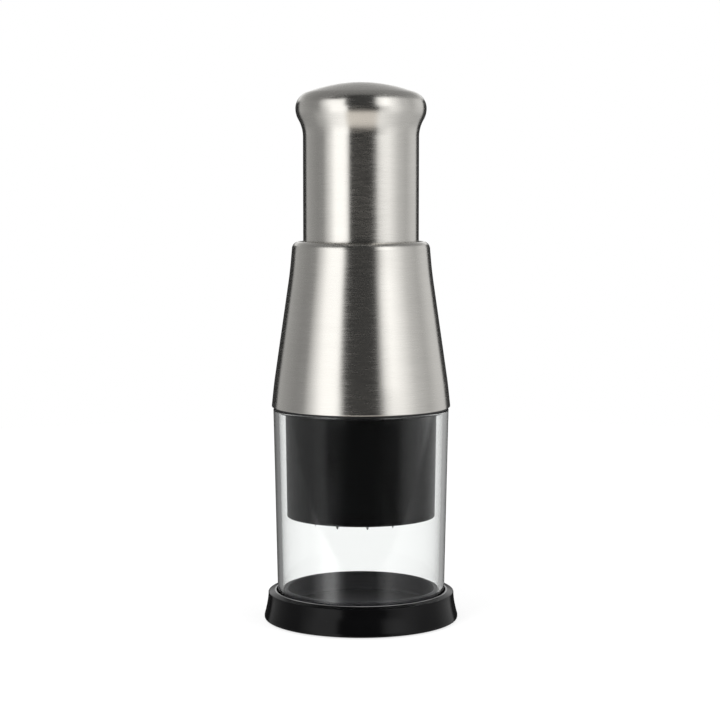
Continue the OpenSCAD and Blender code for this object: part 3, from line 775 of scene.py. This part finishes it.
class CHOPPER_OT_cone(PieceOperator, Operator):
    """Turn the steel cover of the head: hem, band, cone, neck and shoulder"""

    bl_idname = "chopper.cone"
    bl_label = "Steel cone"

    def make(self, context, colours):
        size = sizes(context, "head")
        hem_z, top, hem_r = extent("cone_cover")
        shoulder_z = top - size.shoulder_r
        shoulder_x = size.top_r - size.shoulder_r
        tilt = degrees(atan2(size.neck_w, size.neck_h))
        end = degrees(acos((size.opening_r - shoulder_x) / size.shoulder_r))
        line = rounded([
            (hem_r, hem_z, 0),
            (hem_r - size.band_in, hem_z + size.band_h, size.bend_r),
            (size.top_r + size.neck_w, shoulder_z - size.neck_h, size.bend_r),
            (size.top_r, shoulder_z, 0),
        ])
        line += arc((shoulder_x, shoulder_z), size.shoulder_r, tilt, end, LONG_ARC)
        inner = moved(line, size.wall)
        hem_in = hem_r - size.hem_w
        hem_top = hem_z + size.hem_h
        above = [p for p in inner if p.y > hem_top + size.wall]
        outline = [(p.x, p.y, 0) for p in line[1:] + above[::-1]]
        for i in (len(line) - 2, len(line) - 1):
            outline[i] = (*outline[i][:2], size.wall * CUT_EDGE)
        lean = size.band_in / size.band_h
        outline += [
            (hem_r - size.wall - lean * size.hem_h, hem_top, 0),
            (hem_in, hem_top, size.wall / 2),
            (hem_in, hem_z, size.wall / 2),
            (hem_r, hem_z, size.hem_round),
        ]
        shell = turned("cone_shell", rounded(outline, SHORT_ARC))
        steel = turned_steel("cone steel", colours.steel, 0.24)
        placed(shell, "head", "brushed_steel", steel, "cone_cover")


class CHOPPER_OT_cup(PieceOperator, Operator):
    """Turn the clear cup, open at both ends"""

    bl_idname = "chopper.cup"
    bl_label = "Clear cup"

    def make(self, context, colours):
        size = sizes(context, "cup")
        bottom, top, top_r = extent("cup")
        edge = size.rim_round
        shell = turned("cup_shell", rounded([
            (size.foot_r, bottom, edge),
            (top_r, top, edge),
            (top_r - size.wall, top, edge),
            (size.foot_r - size.wall, bottom, edge),
        ]))
        clear = clear_plastic("clear plastic", colours.clear)
        placed(shell, "jar", "clear_cup", clear, "cup")


class CHOPPER_OT_guard(PieceOperator, Operator):
    """Turn the black guard round the blades, with its lugs"""

    bl_idname = "chopper.guard"
    bl_label = "Blade guard"

    def make(self, context, colours):
        size = sizes(context, "guard")
        bottom, top, lug_r = extent("blade_guard")
        line_z = bottom + size.line_up
        inner = size.foot_r - size.wall
        bead_top = size.bead_z + size.bead_h
        fillet = size.edge
        shell = turned("guard_tube", rounded([
            (size.ledge_r, bottom, 0),
            (size.foot_r, bottom, fillet),
            (size.foot_r, line_z, 0),
            (size.foot_r - size.line_d, line_z + size.line_h / 2, 0),
            (size.foot_r, line_z + size.line_h, 0),
            (size.top_r, size.straight_z, 0),
            (size.top_r, top, fillet),
            (size.top_r - size.wall, top, fillet),
            (size.top_r - size.wall, size.straight_z, 0),
            (inner, bead_top + size.bead_h, 0),
            (size.bead_r, bead_top, 0),
            (size.bead_r, size.bead_z, 0),
            (inner, size.bead_z - size.bead_h / 2, 0),
            (inner, bottom + size.ledge_t, 0),
            (size.ledge_r, bottom + size.ledge_t, 0),
        ]))
        lugs = bmesh.new()
        lug_in, lug_top = size.top_r - size.wall / 2, size.lug_z + size.lug_h
        lug = [(lug_in, size.lug_z), (lug_r, size.lug_z), (lug_r, lug_top), (lug_in, lug_top)]
        for k in range(size.lug_count):
            start = size.lug_at + 2 * pi * k / size.lug_count
            turn(lugs, lug, start, size.lug_sweep, steps=6)
        whole = merged(shell, "guard_shell", finished(lugs, "guard_lugs"))
        black = moulded_plastic("guard black", colours.black, 0.15)
        placed(whole, "guard", "gloss_black", black, "blade_guard")


class CHOPPER_OT_tray(PieceOperator, Operator):
    """Turn the black tray: flared skirt, crowned rim, groove, dish and the ribs below"""

    bl_idname = "chopper.tray"
    bl_label = "Tray"

    def make(self, context, colours):
        size = sizes(context, "tray")
        bottom, _, tray_r = extent("base_tray")
        _, foot_t, foot_r = extent("foot_ring")
        foot_in, foot_out = foot_r - size.slot_in, foot_r + size.slot_play
        under_r = foot_in - size.lip_w
        under_z = size.dish_z - size.floor_t
        skirt_z = bottom + size.foot_h
        skirt_h = size.rim_z - size.rim_h - skirt_z
        skirt = []
        for k in range(SKIRT_STEPS + 1):
            t = k / SKIRT_STEPS
            out = (tray_r - size.rim_r) * (1 - t) ** size.flare
            skirt.append((size.rim_r + out, skirt_z + skirt_h * t, 0))
        outline = [
            (0, under_z, 0),
            (under_r, under_z, 0),
            (under_r, bottom, size.edge),
            (foot_in, bottom, size.edge),
            (foot_in, foot_t, 0),
            (foot_out, foot_t, 0),
            (foot_out, bottom, size.edge),
            (tray_r, bottom, size.foot_round),
            *skirt,
            (size.rim_r, size.rim_z, size.rim_round),
            (size.mouth_r, size.rim_z + size.crown, size.rim_round),
            (size.groove_r, size.groove_z, 0),
            (size.plug_r, size.groove_z, 0),
            (size.plug_r, size.plug_z, size.plug_round),
            (size.dish_r, size.plug_z, size.plug_round),
            (size.dish_r, size.dish_z, size.dish_round),
            (0, size.dish_z, 0),
        ]
        dish = turned("tray_dish", rounded(outline))
        rib_z, rib_top = under_z - size.rib_h, under_z + OVERLAP
        ring_in, ring_out = size.rib_ring_r, size.rib_ring_r + size.rib_w
        middle = (ring_in + ring_out) / 2
        ribs = spokes(size.rib_count, middle, under_r + OVERLAP, size.rib_w, rib_z, rib_top)
        ring = [(ring_in, rib_z), (ring_out, rib_z), (ring_out, rib_top), (ring_in, rib_top)]
        whole = merged(dish, "tray_shell", ribs, turned("tray_ring", ring))
        black = moulded_plastic("tray black", colours.black, 0.15, specular=0.17, use={
            # Inside the dish the black is a lighter grey in swirls
            "dish_r": size.plug_r * MM,
            "fade": 0.0005,
            "dish_grey": colours.greyer_black,
            "dish_rough": 0.3,
            # A painted highlight round the rim's mouth edge, and its grey
            "edge_r": (size.mouth_r + 0.4) * MM,
            "edge_z": (size.rim_z + size.crown / 2) * MM,
            "edge_w": 0.0003,
            "painted_highlight_grey": 0.3,
        })
        placed(whole, "tray", "gloss_black", black, "base_tray")


class CHOPPER_OT_blades(PieceOperator, Operator):
    """Fold the three blades from a strip with a ground edge and pointed corners"""

    bl_idname = "chopper.blades"
    bl_label = "Blades"

    def centre_line(self, size):
        """Points along the middle of one folded strip, and which of them are tips."""
        outer, inner = 1.5 * size.corner_step, 0.5 * size.corner_step
        half = [
            (size.corner_r, inner, size.fold_r),
            (size.corner_r, outer, size.fold_r),
            (size.end_r, outer + size.end_turn, 0),
        ]
        polar = [(r, -a, fold) for r, a, fold in half[::-1]]
        polar += [(size.valley_r, 0, size.fold_r), *half]
        path = [(r * cos(a), r * sin(a), fold) for r, a, fold in polar]
        tips = [Vector(path[i][:2]) for i in (1, 2, 4, 5)]
        points = []
        for point in rounded(path, steps=6):
            while points and (point - points[-1]).length > 1.5 * size.spacing:
                onward = (point - points[-1]).normalized() * size.spacing
                points.append(points[-1] + onward)
            points.append(point)
        return points, tips

    def make(self, context, colours):
        size = sizes(context, "blades")
        points, tips = self.centre_line(size)
        tip_z, top, _ = extent("blade_1")
        edge_z = tip_z + size.tip_h
        heights = []
        for point in points:
            away = min((point - tip).length for tip in tips)
            heights.append(edge_z - size.tip_h * max(0, 1 - away / size.tip_w))
        lowest = min(heights)
        heights = [z - (lowest - tip_z) if z < edge_z else z for z in heights]
        half, edge = size.thick / 2, size.edge_w / 2
        rings = []
        for here, beside, z in zip(points, moved(points, 1.0), heights):
            profile = [(half, top), (half, z + size.bevel_h), (edge, z)]
            profile += [(-o, height) for o, height in profile[::-1]]
            rings.append([(*(here + (beside - here) * o), height) for o, height in profile])
        steel = blade_steel_with_painted_shade("blade steel", colours.blade, edge_z, size.bevel_h)
        for k in range(3):
            bm = bmesh.new()
            sweep_rings(bm, rings)
            about = Matrix.Rotation(size.at + 2 * pi * k / 3, 4, "Z")
            bmesh.ops.transform(bm, matrix=about, verts=bm.verts)
            piece = finished(bm, f"blade_strip_{k + 1}")
            placed(piece, "cutter", "blade_steel", steel, f"blade_{k + 1}")


class CHOPPER_OT_spring(PieceOperator, Operator):
    """Wind the return spring"""

    bl_idname = "chopper.spring"
    bl_label = "Return spring"

    def make(self, context, colours):
        size = sizes(context, "spring")
        bottom, top, _ = extent("return_spring")
        turns, half = size.turns, size.wire / 2
        low_z, high_z = bottom + half, top - half
        pitch = (high_z - low_z - 2 * size.end_pitch) / (turns - 2)
        rings = []
        for i in range(turns * RINGS_PER_TURN + 1):
            at = i / RINGS_PER_TURN
            if at < 1:
                z = low_z + size.end_pitch * at
            elif at > turns - 1:
                z = high_z - size.end_pitch * (turns - at)
            else:
                z = low_z + size.end_pitch + pitch * (at - 1)
            around = 2 * pi * at
            ring = []
            for k in range(WIRE_SIDES):
                b = 2 * pi * k / WIRE_SIDES
                r = size.mean_r + half * cos(b)
                ring.append((r * cos(around), r * sin(around), z + half * sin(b)))
            rings.append(ring)
        bm = bmesh.new()
        sweep_rings(bm, rings)
        wire = turned_steel("spring wire", colours.zinc, 0.22, density=2500.0, anisotropy=0.0)
        piece = placed(finished(bm, "spring_coil"), "head", "zinc_steel", wire, "return_spring")
        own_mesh(piece)


class CHOPPER_OT_inner_pieces(PieceOperator, Operator):
    """Give the pieces inside, which keep their own mesh, their finishes"""

    bl_idname = "chopper.inner_pieces"
    bl_label = "Inner pieces"

    def make(self, context, colours):
        inner = moulded_plastic("inner black", colours.inner, 0.48, grain=3800.0, relief=0.1)
        bearing = moulded_plastic("bearing plastic", colours.bearing, 0.4)
        plated = turned_steel("plated steel", colours.zinc, 0.24, density=4000.0, anisotropy=0.3)
        rubber = soft_rubber("rubber", colours.rubber)
        finishes = {
            "inner_black": inner, "white_bearing": bearing, "zinc_steel": plated, "rubber": rubber,
        }
        slots = {row["node"]: row["material_slot"] for row in frame["record"]["subparts"]}
        for name, node in frame["nodes"].items():
            material = finishes.get(slots[name])
            if material and not node.hide_render:
                node.data.materials.clear()
                node.data.materials.append(material)


class CHOPPER_OT_stage(PieceOperator, Operator):
    """Set up the camera, the pale floor and the soft studio light"""

    bl_idname = "chopper.stage"
    bl_label = "Studio"

    # How far up a surface faces, in degrees, where one row of panels gives way to the next
    RAISED = (1.0, 4.0)
    GROUND = (-16.0, -8.5)
    CUP = (-1.5, -4.0)
    DISH = (-6.86, -7.02)
    CREST = (30.0, 32.0)

    def camera(self, context, studio):
        data = bpy.data.cameras.new("studio_camera")
        data.lens = studio.lens
        data.sensor_width = 36
        data.clip_start, data.clip_end = 0.01, 10
        camera = linked("studio_camera", data)
        camera.location = studio.camera
        camera.rotation_euler = (pi / 2 - studio.pitch, 0, 0)
        context.scene.camera = camera

    def floor(self, studio):
        bm = bmesh.new()
        bmesh.ops.create_circle(bm, cap_ends=True, segments=96, radius=studio.floor_r)
        floor = finished(bm, "studio_floor")
        material = bpy.data.materials.new("pale floor")
        tree = empty_tree(material)
        rays = add(tree, "ShaderNodeLightPath").outputs
        paper = add(tree, "ShaderNodeBsdfDiffuse", {"Color": (0.35, 0.35, 0.35, 1)})
        glow = add(tree, "ShaderNodeEmission", {"Color": (1, 1, 1, 1), "Strength": 0.72})
        seen = add(tree, "ShaderNodeAddShader", {0: paper.outputs[0], 1: glow.outputs[0]})
        plain = add(tree, "ShaderNodeBsdfDiffuse", {"Color": (0.8, 0.8, 0.8, 1)})
        camera = math_node("MAXIMUM", rays["Is Camera Ray"], rays["Is Transmission Ray"])
        ways = {0: camera, 1: plain.outputs[0], 2: seen.outputs[0]}
        first = add(tree, "ShaderNodeMixShader", ways)
        # Gloss looks through the floor to the studio's panels, also through the clear cup
        glossy = math_node("GREATER_THAN", rays["Glossy Depth"], 0.5)
        open_way = add(tree, "ShaderNodeBsdfTransparent")
        ways = {0: glossy, 1: first.outputs[0], 2: open_way.outputs[0]}
        last = add(tree, "ShaderNodeMixShader", ways)
        add(tree, "ShaderNodeOutputMaterial", {"Surface": last.outputs[0]})
        floor.data.materials.append(material)

    def bands(self, facing, levels):
        """A row of panels: light levels, or tints, by an angle in degrees."""
        first, last = float(min(levels)), float(max(levels))
        node = add(facing.id_data, "ShaderNodeValToRGB", {0: between(facing, first, last)})
        elements = node.color_ramp.elements
        while len(elements) < len(levels):
            elements.new(0.5)
        for element, (at, level) in zip(elements, levels.items()):
            element.position = (at - first) / (last - first)
            tint = level if isinstance(level, tuple) else (level,) * 3
            element.color = (*tint, 1)
        return node.outputs[0]

    def surround(self, context, studio):
        """Light from all round: plain on matt surfaces, long panels and dark gaps in the gloss.

        The panels run from front to back like the walls of a light tent, so each is placed by
        the facing of a surface that shows it to the front: round the axis, and up or down.
        """
        world = bpy.data.worlds.new("studio")
        context.scene.world = world
        tree = empty_tree(world)
        rays = add(tree, "ShaderNodeLightPath").outputs
        ray = add(tree, "ShaderNodeTexCoord").outputs["Generated"]
        face = split(vector_node("NORMALIZE", vector_node("ADD", ray, (0, -1, 0))))
        front = product(face["Y"], -1.0)
        around = math_node("DEGREES", math_node("ARCTAN2", face["X"], front))
        up = math_node("DEGREES", math_node("ARCSINE", face["Z"]))
        way = split(ray)
        ahead = product(way["Y"], -1.0)
        over = math_node("DEGREES", math_node("ARCTAN2", way["Z"], ahead))
        level_at = self.bands(around, {
            -90: 0.0, -70.5: 0.0, -68.5: 0.45, -60: 0.36, -48: 0.28, -40: 0.3, -31: 0.85,
            -25.5: 1.4, -15: 1.4, -12.5: 1.2, -10.8: 0.03, 15: 0.03, 16.5: 0.5, 20: 0.75,
            28: 1.05, 34: 0.85, 41: 0.6, 50: 0.49, 60: 0.62, 70: 0.66, 72: 0.0, 90: 0.0,
        })
        raised = self.bands(around, {
            -90: 0.0, -70.5: 0.0, -68.5: 0.42, -60: 0.34, -48: 0.26, -40: 0.28, -33: 0.9, -28: 1.3,
            -17: 1.35, -15.3: 1.25, -12.6: 0.04, 11: 0.04, 12.8: 0.5, 16: 1.2, 22: 1.5, 29: 1.08,
            38: 0.63, 50: 0.46, 60: 0.66, 70: 0.7, 72: 0.0, 90: 0.0,
        })
        distant = self.bands(around, {
            -90: 1.5, -80: 0.5, -70: 0.3, -45: 0.22, -35: 0.26, -30: 0.34, -26: 0.28, -22: 0.03,
            25: 0.03, 29: 0.2, 34: 0.36, 44: 0.48, 54: 0.8, 64: 1.3, 72: 1.9, 90: 3.0,
        })
        table = self.bands(around, {
            -90: 0.3, -36: 0.3, -29: 1.0, -23: 2.4, -19: 2.4, -14: 0.7, -10: 0.15, 10: 0.15,
            14: 0.5, 19: 0.95, 28: 0.6, 45: 0.3, 90: 0.3,
        })
        ground = self.bands(around, {
            -90: 0.0, -70.5: 0.0, -68.5: 0.3, -48: 0.3, -37: 0.5, -27: 1.0, -16: 1.2,
            -11: (0.76, 0.72, 0.67), 12: (0.73, 0.69, 0.65), 18: 0.98, 28: 0.8, 40: 0.54,
            60: 0.47, 70: 0.5, 72: 0.0, 90: 0.0,
        })
        back = self.bands(over, {
            60: 0.02, 76: 0.02, 84: 0.18, 120: 0.23, 145: 0.3, 160: 0.55, 172: 1.45, 180: 1.45,
        })
        walls = mixed(between(up, *self.RAISED, kind="SMOOTHSTEP"), level_at, raised)
        lower = mixed(between(up, *self.GROUND, kind="SMOOTHSTEP"), ground, walls)
        # The clear cup turns darker parts of the room to the front, also onto the black guard
        through = math_node("MINIMUM", rays["Transmission Depth"], 1.0)
        clear = math_node("MAXIMUM", through, rays["Is Singular Ray"])
        clear = product(clear, between(up, *self.CUP))
        dish = product(rays["Is Singular Ray"], between(up, *self.DISH))
        lower = mixed(clear, lower, mixed(dish, distant, table))
        # On the left the dark gap over the panels is wider, a dark line round the crown's rim
        sooner = product(between(around, -10.0, -17.0), 7.0)
        crest = between(math_node("ADD", up, sooner), *self.CREST)
        panels = mixed(crest, lower, back)
        glossy = math_node("GREATER_THAN", rays["Glossy Depth"], 0.5)
        # The turned sides show the dark end of the room along their outlines
        aslant = product(
            between(math_node("ABSOLUTE", way["X"]), 0.05, 0.14),
            between(way["Y"], 0.75, 0.9),
            between(way["Z"], 0.25, 0.1),
            between(through, 0.0, 1.0, 1.0, 0.0),
        )
        panels = mixed(aslant, panels, 0.03)
        # The edges of the clear cup turn light aside, and show a greyer part of the backdrop
        behind = product(
            rays["Is Singular Ray"], rays["Is Transmission Ray"], glossy,
            between(way["Y"], 0.3, 0.8),
        )
        grey = mixed(between(way["X"], -0.1, 0.1), 0.22, 0.42)
        panels = mixed(behind, panels, grey)
        seen = math_node("MAXIMUM", rays["Is Camera Ray"], rays["Is Transmission Ray"])
        direct = product(seen, between(glossy, 0.0, 1.0, 1.0, 0.0))
        lit = mixed(glossy, float(studio.plain), panels)
        shown = mixed(direct, lit, 1.0)
        light = add(tree, "ShaderNodeBackground", {"Color": shown, "Strength": 1.0})
        add(tree, "ShaderNodeOutputWorld", {"Surface": light.outputs[0]})

    def lamp(self, name, place, size, power):
        """A soft round lamp that lights matt surfaces and leaves no spot in the gloss."""
        data = bpy.data.lights.new(name, "AREA")
        data.shape = "DISK"
        data.size = size
        data.energy = power
        lamp = linked(name, data)
        lamp.location = place
        aim = Vector((0, 0, 0.07)) - Vector(place)
        lamp.rotation_euler = aim.to_track_quat("-Z", "Y").to_euler()
        lamp.visible_glossy = False
        lamp.visible_camera = False
        lamp.visible_transmission = False

    def make(self, context, colours):
        studio = context.scene.chopper_studio
        self.camera(context, studio)
        self.floor(studio)
        self.surround(context, studio)
        self.lamp("key_lamp", (-0.55, -0.6, 0.8), size=0.5, power=4.0)
        self.lamp("fill_lamp", (0.7, -0.35, 0.6), size=0.6, power=2.5)
        context.scene.view_settings.view_transform = "Standard"


# In the order in which they are written above
OPERATORS = tuple(PieceOperator.__subclasses__())


class CHOPPER_PT_panel(Panel):
    """Lists the pieces of the chopper"""

    bl_idname = "CHOPPER_PT_panel"
    bl_label = "Plunger food chopper"
    bl_space_type = "VIEW_3D"
    bl_region_type = "UI"
    bl_category = "Chopper"

    def draw(self, context):
        for name in GROUPS:
            box = self.layout.box()
            box.label(text=name.capitalize())
            group_at = getattr(context.scene, "chopper_" + name)
            for key in group_at.__annotations__:
                box.prop(group_at, key)
        for operator in OPERATORS:
            self.layout.operator(operator.bl_idname)


def register():
    """Registers the property groups, the operators and the panel."""
    for name, kind in GROUPS.items():
        bpy.utils.register_class(kind)
        setattr(Scene, "chopper_" + name, PointerProperty(type=kind))
    for kind in (*OPERATORS, CHOPPER_PT_panel):
        bpy.utils.register_class(kind)


def unregister():
    """Takes back what register added."""
    for kind in (CHOPPER_PT_panel, *OPERATORS[::-1]):
        bpy.utils.unregister_class(kind)
    for name, kind in GROUPS.items():
        delattr(Scene, "chopper_" + name)
        bpy.utils.unregister_class(kind)


def main():
    """Builds the whole scene."""
    register()
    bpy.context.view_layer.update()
    for operator in OPERATORS:
        family, name = operator.bl_idname.split(".")
        getattr(getattr(bpy.ops, family), name)()


if __name__ == "__main__":
    main()
